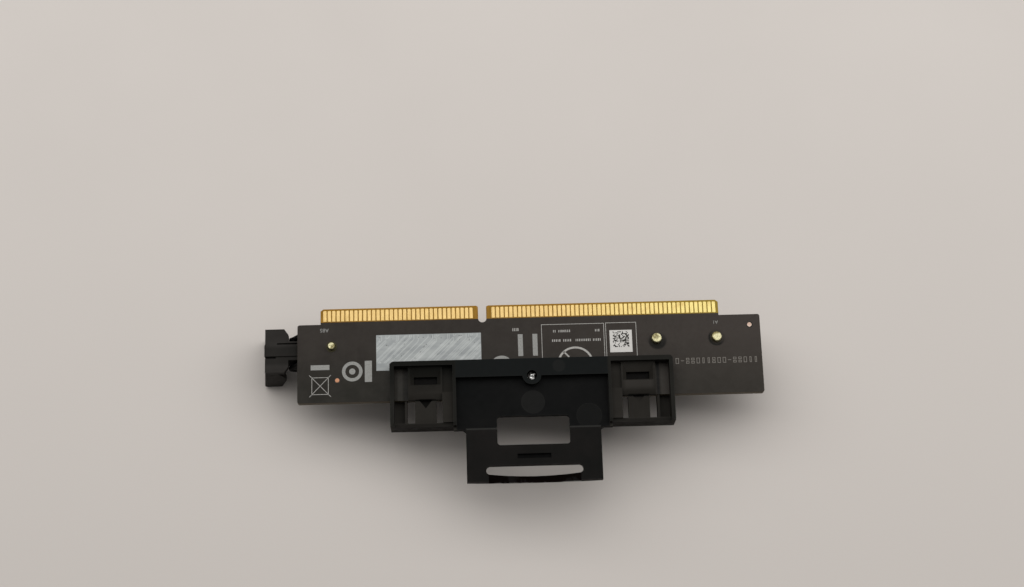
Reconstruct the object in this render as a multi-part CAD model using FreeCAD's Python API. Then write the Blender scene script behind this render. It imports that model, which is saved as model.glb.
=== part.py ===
import FreeCAD, Part
import math
import os

from FreeCAD import Vector

os.makedirs("parts", exist_ok=True)

# PCIe riser card. Millimetres. Origin: centre line of the key notch, on the leading edge
# of the gold tab, at mid thickness of the board. +X along the board, +Y out of the mating
# connector's slot direction (towards the gold edge), +Z away from the card slot.

# ---- board ----
board_thickness = 1.57
board_depth = 21.9         # from the leading edge to the lower edge
board_corner = 0.5
tab_height = 3.7           # leading edge to the shoulders
shoulder_left = 5.2        # the board reaches at least this far past the tab's ends
shoulder_right = 9.25
past_latch_end = 6.0       # and at least this far past the card slot's ends
past_front_end = 8.25
tab_margin = 1.0           # last finger centre to the tab's end
tab_corner = 0.6
notch_width = 1.85
notch_depth = 4.05
bevel_length = 0.5         # bevel of the leading edge, along Y
bevel_depth = 0.3          # and into each face

# ---- gold fingers ----
finger_pitch = 1.0
finger_width = 0.75
finger_start = 0.5         # from the leading edge
finger_length = 2.55
finger_thickness = 0.05
finger_gap_at_key = 5.0    # between finger centres across the notch
long_finger_count = 51
short_finger_count = 34

# ---- x16 card slot ----
slot_centre_y = -8.95
key_x = 39.15              # centre of the slot's key wall and of its pin
contact_pitch = 1.0
key_to_contact = 1.5
short_contact_count = 11
long_contact_count = 71
slot_width = 7.5
slot_height = 11.25
slot_margin_front = 3.85   # first contact to the front end
slot_margin_end = 3.35     # last contact to the latch end
groove_width = 1.8
groove_depth = 8.6
groove_margin = 1.25       # groove past the outer contacts
groove_lead = 0.7          # chamfer of the mouth
key_wall = 1.7
cavity_width = 0.6
cavity_reach = 2.9         # from the centre line to the cavity's back
mouth_ledge = 0.85         # solid rim left between cavities and mouth
foot_channel = 0.5         # the side walls stop this far off the board, over the solder feet

# ---- contacts ----
contact_width = 0.42
contact_thickness = 0.2
contact_stem = 2.6         # outer face of the stem, from the centre line
foot_reach = 4.7           # end of the solder foot, from the centre line
contact_touch = 0.72       # inner face at the spring's end, from the centre line
contact_height = 8.8       # of that end, below the board's underside

# ---- locating pins ----
pin_radius = 1.15
end_pin_radius = 0.8
pin_hole_radius = 1.2
pin_proud = 1.1            # above the board's upper face
pin_socket = 1.5           # depth in the housing
pin_fit = 0.02
front_pin_past = 2.05      # from the last contact at the front end
end_pin_past = 1.65        # and from the last one at the latch end

# ---- latch ----
cheek_thickness = 0.75
cheek_outer = 3.65         # from the slot's centre line
cheek_top = 0.65           # below the board's underside
cheek_root_drop = 9.2      # lower edge of a cheek at the housing
cheek_eye_radius = 1.9     # outside of the eye
cheek_relief = 0.1         # the cheek's top edge ends this far inside the pivot
cheek_flank = 60.0         # degrees, where the relief meets the eye
pivot_reach = 6.5          # past the housing's end
pivot_drop = 4.0           # below the board's underside
trunnion_radius = 0.8
trunnion_clearance = 0.06
trunnion_recess = 0.1      # trunnion end inside the cheek's outer face
stem_width = 4.4
stem_tail = 1.5            # stem past the pivot, towards the housing
stem_fillet = 1.2
latch_top = 0.65           # below the board's underside
plate_offset = 1.75        # pivot to the wide plate's near edge
plate_width = 10.2
plate_length = 5.25
plate_thickness = 1.6
plate_chamfer_run = 0.95     # along X
plate_chamfer_side = 1.35    # and along Y
rib_width = 2.7
rib_height = 0.3
rib_proud = 0.12           # the rib's end past the plate's outer edge
rib_groove_width = 0.45
rib_groove_depth = 0.5
long_groove_start = 2.7    # from the plate's outer edge, on one side of the rib
short_groove_end = 2.4     # and from the same edge, on the other side
lever_wall = 1.5
lever_side_wall = 1.0
lever_root = 2.3           # depth of the lever's side walls under the plate
lever_belly = 4.35         # and at the belly
lever_belly_drop = 6.5     # the belly's level, below the board's underside
lever_floor_gap = 0.2      # the lever ends this far above the slot's mouth
lever_bow = 0.5            # bow of the lever's front
lever_lean = 1.0           # its outer face leans out this far at the foot
lever_flare = 0.45         # and each side of it spreads this far
toe_setback = 1.45         # toe behind the belly
heel_run = 0.3             # chamfer of the lever's outer lower edge
heel_rise = 0.4
hook_width = 3.0
hook_nose = 0.5            # hook past the belly

# ---- bracket, plan sizes from its centre line ----
bracket_x = 10.7
bracket_back = 13.5        # upper edge, from the leading edge
bracket_half = 31.6
box_inner = 17.0           # inner side of a box
rim_outer_wall = 0.85
rim_inner_wall = 0.65
rim_back_wall = 1.05
box_front = 28.35          # lower end of the side rims and of the lower wall
rim_corner = 0.8           # rounding of the outer upper corners
wall_thickness = 0.9
tongue_centre = 23.75
tongue_width = 4.75
crossbar_half = 3.85
inner_gap = 1.35           # opening beside the tongue, inner side
outer_gap = 1.8            # and outer side
tongue_clearance = 0.15    # tongue tip to the board's edge
slit = 0.3
sliver_wall = 0.5
pocket_hole_width = 5.2
pocket_hole_back = 16.75
pocket_hole_front = 18.45
pocket_bevel_flank = 0.8
pocket_bevel_back = 1.9
pocket_bevel_front = 0.4
crossbar_bevel_start = 20.8
strip_division = 20.65
band_front = 17.5
panel_front = 29.2
fold_run = 0.7
fold_root = 1.15           # the handle plate starts this far inside the panel's edge
fold_heel = 0.5            # and its underside turns this far past it

# ---- bracket levels above the board's upper face ----
rim_level = 2.8
panel_level = 1.2
crossbar_level = 1.6
strip_low_level = 0.9
strip_high_level = 1.9
wall_level = 1.4
handle_level = 2.4
handle_thickness = 1.8
skin = 1.2
front_skin = 1.0
crossbar_bevel_drop = 0.7
pocket_drop = 0.8
tongue_level = 0.6
tongue_thickness = 1.6
vee_width = 2.9
vee_length = 1.85
vee_drop = 0.45

# ---- jaws below the board ----
jaw_clearance = 0.08
jaw_thickness = 1.3
jaw_lap = 2.5              # under the board's lower edge
edge_clearance = 0.15      # between the board's edge and what it stops on

# ---- handle ----
handle_half = 14.95
handle_front = 41.2
handle_bow = 0.2
handle_fillet = 1.0
window_half = 8.05
window_start = 2.9         # from the panel's lower edge, into the panel
window_end = 8.1           # from the handle's lower edge
window_corner = 0.7
lip_run = 1.5              # from the handle's lower edge to the grip slot
lip_half = 10.2
lip_drop = 1.1
grip_half = 10.7
grip_height = 2.1
grip_bow = 0.5
grip_corner = 0.95
thumb_groove_half = 3.7
thumb_groove_height = 1.0
thumb_groove_depth = 0.5
thumb_groove_gap = 1.45    # between the groove and the grip slot

# ---- screw boss and screw ----
boss_y = -17.4
boss_radius = 2.1
screw_radius = 1.1
screw_fit = 0.05
screw_board_hole = 1.45
screw_head_radius = 2.25
screw_head_height = 1.6
screw_head_chamfer = 0.55
screw_tip_below = 0.5      # tip below the boss's rim
screw_recess_width = 0.75
screw_recess_depth = 1.0
screw_recess_length = 2.6

# ---- label ----
label_left = 28.6
label_back = -6.7
label_width = 5.05
label_height = 5.2
label_thickness = 0.08

# ---- parts on the hidden face ----
chip_gap = 1.2
large_chip = (3.2, 1.6, 1.3)
small_chip = (1.6, 0.8, 0.7)
tiny_chip = (1.0, 0.5, 0.35)
large_chip_count = 3
small_chip_count = 5
tiny_chip_count = 2
large_chip_inset = (14.75, 1.35)  # from the board's right end and from the solder feet
small_chip_inset = (3.1, 1.75)    # from its left end and from the feet
tiny_chip_inset = (17.5, 1.75)

overrun = 1.0              # a cutter reaches this far past the face that it opens

# ---- derived places ----
board_top = board_thickness / 2
board_under = -board_thickness / 2
mouth_z = board_under - slot_height


def box(x0, x1, y0, y1, z0, z1):
    """A block between two corners, given in any order."""
    low = Vector(min(x0, x1), min(y0, y1), min(z0, z1))
    return Part.makeBox(abs(x1 - x0), abs(y1 - y0), abs(z1 - z0), low)


def prism(points, along):
    """A closed outline, swept along a vector."""
    wire = Part.makePolygon([Vector(*p) for p in points + points[:1]])
    return Part.Face(wire).extrude(Vector(*along))


def outline_prism(edges, along):
    return Part.Face(Part.Wire(edges)).extrude(Vector(*along))


def line(a, b):
    return Part.LineSegment(Vector(*a), Vector(*b)).toShape()


def arc(a, b, c):
    return Part.Arc(Vector(*a), Vector(*b), Vector(*c)).toShape()


def rod(radius, start, end):
    """A cylinder from one point to another."""
    a, b = Vector(*start), Vector(*end)
    return Part.makeCylinder(radius, (b - a).Length, a, b - a)


def upright_edges(shape):
    found = []
    for edge in shape.Edges:
        a, b = edge.Vertexes[0].Point, edge.Vertexes[-1].Point
        if abs(a.x - b.x) < 1e-6 and abs(a.y - b.y) < 1e-6:
            found.append(edge)
    return found


def rounded_box(x0, x1, y0, y1, z0, z1, radius):
    shape = box(x0, x1, y0, y1, z0, z1)
    return shape.makeFillet(radius, upright_edges(shape))


def joined(shapes):
    return shapes[0].multiFuse(shapes[1:]).removeSplitter()


def save(name, shape):
    shape.exportStep("parts/" + name + ".step")


# ---- board ----
def finger_centres(count, side):
    """Centres of one run of fingers, counted away from the notch."""
    first = finger_gap_at_key / 2
    return [side * (first + i * finger_pitch) for i in range(count)]


def contact_centres(count, side):
    """Centres of one run of slot contacts, counted away from the key wall."""
    return [key_x + side * (key_to_contact + i * contact_pitch) for i in range(count)]


front_contact = contact_centres(short_contact_count, 1)[-1]
end_contact = contact_centres(long_contact_count, -1)[-1]
slot_front_x = front_contact + slot_margin_front
slot_end_x = end_contact - slot_margin_end
pivot_x = slot_end_x - pivot_reach
pivot_z = board_under - pivot_drop
tab_right = finger_centres(long_finger_count, 1)[-1] + tab_margin
tab_left = finger_centres(short_finger_count, -1)[-1] - tab_margin
board_right = max(tab_right + shoulder_right, slot_front_x + past_front_end)
board_left = min(tab_left - shoulder_left, slot_end_x - past_latch_end)

# name, place and radius of each locating pin
slot_pins = [
    ("pin_key", key_x, pin_radius),
    ("pin_front", front_contact + front_pin_past, pin_radius),
    ("pin_end", end_contact - end_pin_past, end_pin_radius),
]


def through_board(radius, x, y):
    """A drill through the board."""
    return rod(radius, (x, y, board_under - overrun), (x, y, board_top + overrun))


def make_board():
    z0, z1 = board_under, board_top
    body = rounded_box(board_left, board_right, -board_depth, -tab_height, z0, z1, board_corner)
    corner = tab_corner
    root = -tab_height - overrun
    tab = prism([
        (tab_left, root, z0),
        (tab_left, -corner, z0),
        (tab_left + corner, 0, z0),
        (tab_right - corner, 0, z0),
        (tab_right, -corner, z0),
        (tab_right, root, z0),
    ], (0, 0, board_thickness))
    half = notch_width / 2
    notch_end = -notch_depth + half
    cutters = [joined([
        box(-half, half, overrun, notch_end, z0 - overrun, z1 + overrun),
        through_board(half, 0, notch_end),
    ])]
    start = tab_left - overrun
    for face in (1, -1):
        z = face * board_top
        cutters.append(prism([
            (start, overrun, z + face * overrun),
            (start, -bevel_length, z + face * overrun),
            (start, -bevel_length, z),
            (start, 0, z - face * bevel_depth),
            (start, overrun, z - face * bevel_depth),
        ], (tab_right + overrun - start, 0, 0)))
    cutters += [through_board(pin_hole_radius, x, slot_centre_y) for name, x, radius in slot_pins]
    cutters.append(through_board(screw_board_hole, bracket_x, boss_y))
    return joined([body, tab]).cut(Part.makeCompound(cutters))


def make_fingers(count, side, face):
    pads = []
    z = face * board_top
    for x in finger_centres(count, side):
        pads.append(box(
            x - finger_width / 2, x + finger_width / 2,
            -finger_start, -finger_start - finger_length,
            z, z + face * finger_thickness))
    return Part.makeCompound(pads)


# ---- card slot: heights are measured down from the board's underside ----
def slot_section(points, x, length, face=1):
    """A section of (distance from the centre line, height) pairs, swept along +X."""
    places = [(x, slot_centre_y + face * u, board_under - h) for u, h in points]
    return prism(places, (length, 0, 0))


def make_groove(x0, x1):
    half = groove_width / 2
    bottom = slot_height - groove_depth
    past = slot_height + overrun
    return slot_section([
        (-half, bottom), (half, bottom),
        (half, slot_height - groove_lead),
        (half + groove_lead, slot_height), (half + groove_lead, past),
        (-half - groove_lead, past), (-half - groove_lead, slot_height),
        (-half, slot_height - groove_lead),
    ], x0, x1 - x0)


def make_cavity(x, face):
    """The pocket of one contact, open to the groove and to the channel over the board."""
    inner = groove_width / 2
    return slot_section([
        (inner, foot_channel / 2), (cavity_reach, foot_channel / 2),
        (cavity_reach, slot_height - mouth_ledge), (inner, slot_height - mouth_ledge),
    ], x - cavity_width / 2, cavity_width, face)


def make_foot_channel(centres, face):
    """Clearance for a row of solder feet, between the housing's wall and the board."""
    inner = groove_width / 2
    start = min(centres) - contact_pitch / 2
    outer = slot_width / 2 + overrun
    return slot_section([
        (inner, -overrun), (outer, -overrun), (outer, foot_channel), (inner, foot_channel),
    ], start, max(centres) + contact_pitch / 2 - start, face)


def make_cheek(face):
    """One ear at the latch end, with a round eye for a trunnion and a relief for the plate."""
    y0 = slot_centre_y + face * (cheek_outer - cheek_thickness)
    y1 = slot_centre_y + face * cheek_outer
    top = board_under - cheek_top
    low = board_under - cheek_root_drop
    r = cheek_eye_radius
    flank = math.radians(cheek_flank)
    plate = prism([
        (slot_end_x + overrun, y0, top),
        (pivot_x + cheek_relief, y0, top),
        (pivot_x - r * math.cos(flank), y0, pivot_z + r * math.sin(flank)),
        (pivot_x, y0, pivot_z - r),
        (pivot_x + r, y0, pivot_z - r),
        (slot_end_x, y0, low),
        (slot_end_x + overrun, y0, low),
    ], (0, y1 - y0, 0))
    ear = joined([plate, rod(r, (pivot_x, y0, pivot_z), (pivot_x, y1, pivot_z))])
    eye = rod(
        trunnion_radius + trunnion_clearance,
        (pivot_x, y0 - face, pivot_z), (pivot_x, y1 + face, pivot_z))
    return ear.cut(eye)


def make_slot_housing():
    half = slot_width / 2
    body = box(
        slot_end_x, slot_front_x, slot_centre_y - half, slot_centre_y + half,
        board_under, mouth_z)
    cutters = [
        make_groove(key_x + key_wall / 2, front_contact + groove_margin),
        make_groove(end_contact - groove_margin, key_x - key_wall / 2),
    ]
    for name, x, radius in slot_pins:
        cutters.append(rod(
            radius + pin_fit,
            (x, slot_centre_y, board_under + overrun), (x, slot_centre_y, board_under - pin_socket)))
    pockets = []
    for row in (contact_centres(short_contact_count, 1), contact_centres(long_contact_count, -1)):
        for face in (1, -1):
            cutters.append(make_foot_channel(row, face))
            pockets += [make_cavity(x, face) for x in row]
    whole = joined([body, make_cheek(1), make_cheek(-1)])
    for cutter in cutters:
        whole = whole.cut(cutter)
    return whole.cut(Part.makeCompound(pockets)).removeSplitter()


def make_contact(x, face):
    """Solder foot and the spring that leans in to meet the card."""
    t = contact_thickness
    return slot_section([
        (foot_reach, 0), (foot_reach, t), (contact_stem, t),
        (contact_touch + t, contact_height), (contact_touch, contact_height),
        (contact_stem - t, 0),
    ], x - contact_width / 2, contact_width, face)


def make_contacts(count, side, face):
    return Part.makeCompound([make_contact(x, face) for x in contact_centres(count, side)])


def make_pin(x, radius):
    low = board_under - pin_socket
    return rod(radius, (x, slot_centre_y, low), (x, slot_centre_y, board_top + pin_proud))


# ---- latch ----
def make_latch():
    top = board_under - latch_top
    plate_right = pivot_x - plate_offset
    plate_left = plate_right - plate_length
    half = plate_width / 2
    run, side = plate_chamfer_run, plate_chamfer_side
    y = slot_centre_y
    plate = prism([
        (plate_left, y - half, top), (plate_right - run, y - half, top),
        (plate_right, y - half + side, top), (plate_right, y + half - side, top),
        (plate_right - run, y + half, top), (plate_left, y + half, top),
    ], (0, 0, -plate_thickness))
    stem_right = pivot_x + stem_tail
    stem_flat = stem_right - stem_fillet
    rib_half = rib_width / 2
    rib = box(
        plate_left - rib_proud, stem_flat, y - rib_half, y + rib_half,
        top - plate_thickness / 2, top + rib_height)
    grooves = [
        box(
            plate_left + long_groove_start, stem_flat, y + rib_half,
            y + rib_half + rib_groove_width, top - rib_groove_depth, top + overrun),
        box(
            plate_left - overrun, plate_left + short_groove_end, y - rib_half,
            y - rib_half - rib_groove_width, top - rib_groove_depth, top + overrun),
    ]
    stem = box(
        plate_right - overrun, stem_right, y - stem_width / 2, y + stem_width / 2,
        top, pivot_z - cheek_eye_radius)
    stem_edges = [
        e for e in stem.Edges
        if abs(e.BoundBox.XMin - stem_right) < 1e-6 and e.BoundBox.YLength > stem_width / 2]
    stem = stem.makeFillet(stem_fillet, stem_edges)
    trunnion_half = cheek_outer - trunnion_recess
    trunnions = rod(
        trunnion_radius, (pivot_x, y - trunnion_half, pivot_z), (pivot_x, y + trunnion_half, pivot_z))
    foot = mouth_z + lever_floor_gap
    belly = board_under - lever_belly_drop

    def side_profile(y0, width, reach):
        """The lever's side wall: a straight back and a bowed front."""
        root = (plate_left + lever_root, y0, top - plate_thickness / 2)
        belly_point = (plate_left + lever_belly + reach, y0, belly)
        middle = (
            plate_left + (lever_root + lever_belly + reach) / 2 + lever_bow, y0,
            (root[2] + belly) / 2)
        toe = (plate_left + lever_belly - toe_setback, y0, foot)
        heel_low = (plate_left - lever_lean + heel_run, y0, foot)
        heel_high = (plate_left - lever_lean, y0, foot + heel_rise)
        shoulder = (plate_left, y0, root[2])
        edges = [
            arc(root, middle, belly_point), line(belly_point, toe), line(toe, heel_low),
            line(heel_low, heel_high), line(heel_high, shoulder), line(shoulder, root),
        ]
        return outline_prism(edges, (0, width, 0))

    spread = half + lever_flare
    lever = side_profile(y - spread, 2 * spread, 0)
    for face in (1, -1):
        lever = lever.cut(prism([
            (plate_left - 2 * lever_lean, y + face * half, top - plate_thickness),
            (plate_left - 2 * lever_lean, y + face * spread, foot),
            (plate_left - 2 * lever_lean, y + face * (spread + overrun), foot),
            (plate_left - 2 * lever_lean, y + face * (spread + overrun), top),
            (plate_left - 2 * lever_lean, y + face * half, top),
        ], (2 * plate_length, 0, 0)))
    hollow_width = (plate_width - hook_width) / 2 - lever_side_wall
    pockets = []
    for start in (y - half + lever_side_wall, y + half - lever_side_wall - hollow_width):
        pockets.append(box(
            plate_left + lever_wall, plate_right + plate_length, start, start + hollow_width,
            top - plate_thickness, foot - overrun))
    hook = side_profile(y - hook_width / 2, hook_width, hook_nose)
    lever = lever.cut(Part.makeCompound(pockets))
    whole = joined([plate, rib, stem, trunnions, lever, hook])
    for groove in grooves:
        whole = whole.cut(groove)
    return whole


# ---- bracket: u is the distance from its centre line, v the distance below the leading edge ----
def block(side, u0, u1, v0, v1, z0, z1):
    return box(bracket_x + side * u0, bracket_x + side * u1, -v0, -v1, z0, z1)


def pocket_funnel(side):
    """The bevelled sink round the hook hole, as a loft between two rectangles."""
    top = board_top + crossbar_level
    low = top - pocket_drop
    hole = pocket_hole_width / 2

    def ring(half, back, front, z):
        corners = [(-half, back), (half, back), (half, front), (-half, front), (-half, back)]
        return Part.makePolygon([
            Vector(bracket_x + side * (tongue_centre + u), -v, z) for u, v in corners])

    rise = (pocket_drop + overrun / 10) / pocket_drop
    upper = ring(
        hole + pocket_bevel_flank * rise,
        pocket_hole_back - pocket_bevel_back * rise,
        pocket_hole_front + pocket_bevel_front * rise, low + pocket_drop * rise)
    lower = ring(hole, pocket_hole_back, pocket_hole_front, low)
    return Part.makeLoft([lower, upper], True, True)


def make_box_side(side):
    """One snap box: rims, crossbar panel, tongue, strips and the jaws below the board."""
    top = board_top
    rim_top = top + rim_level
    jaw_top = board_under - jaw_clearance
    jaw_low = jaw_top - jaw_thickness
    outer = bracket_half
    rim_in = outer - rim_outer_wall
    inner = box_inner
    inner_in = inner + rim_inner_wall
    back_in = bracket_back + rim_back_wall
    edge = board_depth + edge_clearance
    wall_in = box_front - wall_thickness
    tongue_out = tongue_centre + tongue_width / 2
    tongue_in = tongue_centre - tongue_width / 2
    panel_out = tongue_centre + crossbar_half
    panel_in = tongue_in - inner_gap
    rail_out = tongue_out + outer_gap
    solids = [
        # rims over the board
        block(side, inner, outer, bracket_back, back_in, top, rim_top),
        block(side, rim_in, outer, bracket_back, box_front, top, rim_top),
        block(side, inner, inner_in, bracket_back, box_front, top, rim_top),
        # crossbar panel
        block(side, inner, panel_out, bracket_back, edge, top, top + crossbar_level),
        # side walls and the lower wall, beyond the board's edge
        block(side, rim_in, outer, edge, box_front, jaw_low, rim_top),
        block(side, inner, inner_in, edge, box_front, jaw_low, rim_top),
        block(side, inner, outer, wall_in, box_front, jaw_low, top + wall_level),
        # outer and inner jaws
        block(side, rail_out, outer, board_depth - jaw_lap, box_front, jaw_low, jaw_top),
        block(side, inner, panel_in, board_depth - jaw_lap, box_front, jaw_low, jaw_top),
        # the sliver wall beside the outer jaw
        block(side, rail_out, rail_out + sliver_wall, edge, wall_in, jaw_low, board_top),
        # the raised inner strip
        block(side, inner, panel_in, edge, wall_in, jaw_low, top + strip_high_level),
        block(side, inner, panel_in, strip_division, edge, top, top + strip_high_level),
        # snap tongue
        block(
            side, tongue_in, tongue_out, board_depth + tongue_clearance, wall_in,
            top + tongue_level - tongue_thickness, top + tongue_level),
    ]
    shape = joined(solids)
    tip = board_depth + tongue_clearance
    cut_top = top + crossbar_level
    over = rim_top + overrun
    low_edge = -edge - slit
    panel_x = bracket_x + side * panel_in
    tip_x = bracket_x + side * tongue_centre
    tip_z = top + tongue_level
    cutters = [
        # hook hole
        block(
            side, tongue_centre - pocket_hole_width / 2, tongue_centre + pocket_hole_width / 2,
            pocket_hole_back, pocket_hole_front, top - overrun, over),
        pocket_funnel(side),
        # recess of the inner strip
        block(side, inner_in, panel_in, back_in, strip_division, top + strip_low_level, over),
        # bevel of the crossbar's lower edge
        prism([
            (panel_x, -crossbar_bevel_start, cut_top),
            (panel_x, -edge, cut_top - crossbar_bevel_drop),
            (panel_x, low_edge, cut_top - crossbar_bevel_drop),
            (panel_x, low_edge, over),
            (panel_x, -crossbar_bevel_start, over),
        ], (side * (panel_out - panel_in + slit), 0, 0)),
        # vee in the tongue's tip
        prism([
            (tip_x - vee_width / 2, -tip, tip_z),
            (tip_x + vee_width / 2, -tip, tip_z),
            (tip_x, -tip - vee_length, tip_z),
        ], (0, 0, -vee_drop)),
    ]
    c = rim_corner
    corner = block(
        side, outer - c, outer + overrun, bracket_back - overrun, bracket_back + c,
        top - overrun, over)
    corner_x, corner_y = bracket_x + side * (outer - c), -bracket_back - c
    cutters.append(corner.cut(rod(
        c, (corner_x, corner_y, top - overrun), (corner_x, corner_y, over))))
    for cutter in cutters:
        shape = shape.cut(cutter)
    return shape


def make_centre():
    """Raised band, recessed panel, fold and handle plate."""
    top = board_top
    half = box_inner + rim_inner_wall
    band = [
        block(1, -half, half, bracket_back, band_front, top + rim_level - skin, top + rim_level),
        block(1, -half, half, bracket_back, bracket_back + front_skin, top, top + rim_level),
        block(1, -half, half, band_front - front_skin, band_front, top, top + rim_level),
    ]
    panel = block(1, -half, half, band_front - front_skin, panel_front, top, top + panel_level)
    high = top + handle_level
    low = high - handle_thickness
    x0, x1 = bracket_x - handle_half, bracket_x + handle_half
    fold_start = -panel_front + fold_run / 2
    fold_end = -panel_front - fold_run / 2
    root = -panel_front + fold_root
    reach = -handle_front - handle_bow - overrun
    plate = prism([
        (x0, root, top), (x0, root, top + panel_level), (x0, fold_start, top + panel_level),
        (x0, fold_end, high), (x0, reach, high), (x0, reach, low),
        (x0, fold_end - fold_heel, low), (x0, fold_start - fold_heel, top),
    ], (x1 - x0, 0, 0))
    # the lower edge is slightly bowed
    bow_low = low - overrun
    left, right = (x0, -handle_front, bow_low), (x1, -handle_front, bow_low)
    far_left, far_right = (x0, reach - overrun, bow_low), (x1, reach - overrun, bow_low)
    trim = outline_prism([
        arc(left, (bracket_x, -handle_front - handle_bow, bow_low), right),
        line(right, far_right), line(far_right, far_left), line(far_left, left),
    ], (0, 0, handle_thickness + 2 * overrun))
    plate = plate.cut(trim)
    boss = rod(boss_radius, (bracket_x, boss_y, top), (bracket_x, boss_y, top + rim_level))
    solids = band + [panel, plate, boss]
    r = handle_fillet
    for side in (1, -1):
        u = bracket_x + side * handle_half
        v = -panel_front
        corner = prism([
            (u, v + slit, top), (u + side * r, v + slit, top), (u + side * r, v, top), (u, v - r, top),
        ], (0, 0, panel_level))
        solids.append(corner.cut(rod(
            r, (u + side * r, v - r, top - overrun), (u + side * r, v - r, top + rim_level))))
    return joined(solids)


def grip_slot():
    """The long finger slot, with its lower edge bowed."""
    z = board_top - overrun
    left, right = bracket_x - grip_half, bracket_x + grip_half
    front = -handle_front + lip_run
    back = front + grip_height
    r = grip_corner
    k = r * (1 - math.sqrt(0.5))
    edges = [
        line((left + r, back, z), (right - r, back, z)),
        arc((right - r, back, z), (right - k, back - k, z), (right, back - r, z)),
        line((right, back - r, z), (right, front + r, z)),
        arc((right, front + r, z), (right - k, front + k, z), (right - r, front, z)),
        arc((right - r, front, z), (bracket_x, front - grip_bow, z), (left + r, front, z)),
        arc((left + r, front, z), (left + k, front + k, z), (left, front + r, z)),
        line((left, front + r, z), (left, back - r, z)),
        arc((left, back - r, z), (left + k, back - k, z), (left + r, back, z)),
    ]
    return outline_prism(edges, (0, 0, handle_level + 2 * overrun))


def make_bracket():
    top = board_top
    shape = joined([make_centre(), make_box_side(1), make_box_side(-1)])
    level = top + handle_level
    under, over = top - overrun, level + overrun
    lip_x = bracket_x - lip_half
    lip_back = -handle_front + lip_run
    lip_end = -handle_front - handle_bow
    lip = prism([
        (lip_x, lip_back, over), (lip_x, lip_back, level), (lip_x, lip_end, level - lip_drop),
        (lip_x, lip_end - overrun, level - lip_drop), (lip_x, lip_end - overrun, over),
    ], (2 * lip_half, 0, 0))
    thumb_front = handle_front - lip_run - grip_height - thumb_groove_gap
    cutters = [
        rounded_box(
            bracket_x - window_half, bracket_x + window_half,
            -panel_front + window_start, -handle_front + window_end,
            under, over, window_corner),
        grip_slot(),
        lip,
        block(
            1, -thumb_groove_half, thumb_groove_half,
            thumb_front - thumb_groove_height, thumb_front, level - thumb_groove_depth, over),
        rod(
            screw_radius + screw_fit,
            (bracket_x, boss_y, under), (bracket_x, boss_y, top + rim_level + overrun)),
    ]
    for cutter in cutters:
        shape = shape.cut(cutter)
    return shape.removeSplitter()


def make_screw():
    """Pan-head screw from below, with a cross recess."""
    tip = board_top + rim_level - screw_tip_below
    shank = rod(screw_radius, (bracket_x, boss_y, board_under), (bracket_x, boss_y, tip))
    low = board_under - screw_head_height
    head = rod(screw_head_radius, (bracket_x, boss_y, low), (bracket_x, boss_y, board_under))
    rims = [e for e in head.Edges if abs(e.BoundBox.ZMax - low) < 1e-6 and len(e.Vertexes) == 1]
    head = head.makeChamfer(screw_head_chamfer, rims)
    half = screw_recess_length / 2
    w = screw_recess_width / 2
    z0, z1 = low - overrun, low + screw_recess_depth
    cross = [
        box(bracket_x - half, bracket_x + half, boss_y - w, boss_y + w, z0, z1),
        box(bracket_x - w, bracket_x + w, boss_y - half, boss_y + half, z0, z1),
    ]
    return joined([shank, head]).cut(joined(cross))


def make_chips(size, count, x, inset_y):
    """A row of chip parts on the hidden face, from x on, below the slot's solder feet."""
    length, width, height = size
    y = slot_centre_y - foot_reach - inset_y - length
    starts = [x + i * (width + chip_gap) for i in range(count)]
    return Part.makeCompound([
        box(start, start + width, y, y + length, board_under, board_under - height)
        for start in starts])


save("pcb", make_board())
save("fingers_a_long", make_fingers(long_finger_count, 1, 1))
save("fingers_a_short", make_fingers(short_finger_count, -1, 1))
save("fingers_b_long", make_fingers(long_finger_count, 1, -1))
save("fingers_b_short", make_fingers(short_finger_count, -1, -1))
save("slot_housing", make_slot_housing())
save("contacts_a_short", make_contacts(short_contact_count, 1, 1))
save("contacts_a_long", make_contacts(long_contact_count, -1, 1))
save("contacts_b_short", make_contacts(short_contact_count, 1, -1))
save("contacts_b_long", make_contacts(long_contact_count, -1, -1))
for name, x, radius in slot_pins:
    save(name, make_pin(x, radius))
save("slot_latch", make_latch())
save("bracket", make_bracket())
save("bracket_screw", make_screw())
save("data_label", box(
    label_left, label_left + label_width, label_back, label_back - label_height,
    board_top, board_top + label_thickness))
save("capacitors_12v", make_chips(
    large_chip, large_chip_count, board_right - large_chip_inset[0], large_chip_inset[1]))
save("capacitors_3v3", make_chips(
    small_chip, small_chip_count, board_left + small_chip_inset[0], small_chip_inset[1]))
save("sense_resistors", make_chips(
    tiny_chip, tiny_chip_count, board_left + tiny_chip_inset[0], tiny_chip_inset[1]))
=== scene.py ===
import math
import random

import bmesh
import bpy
from mathutils import Matrix, Vector


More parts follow.
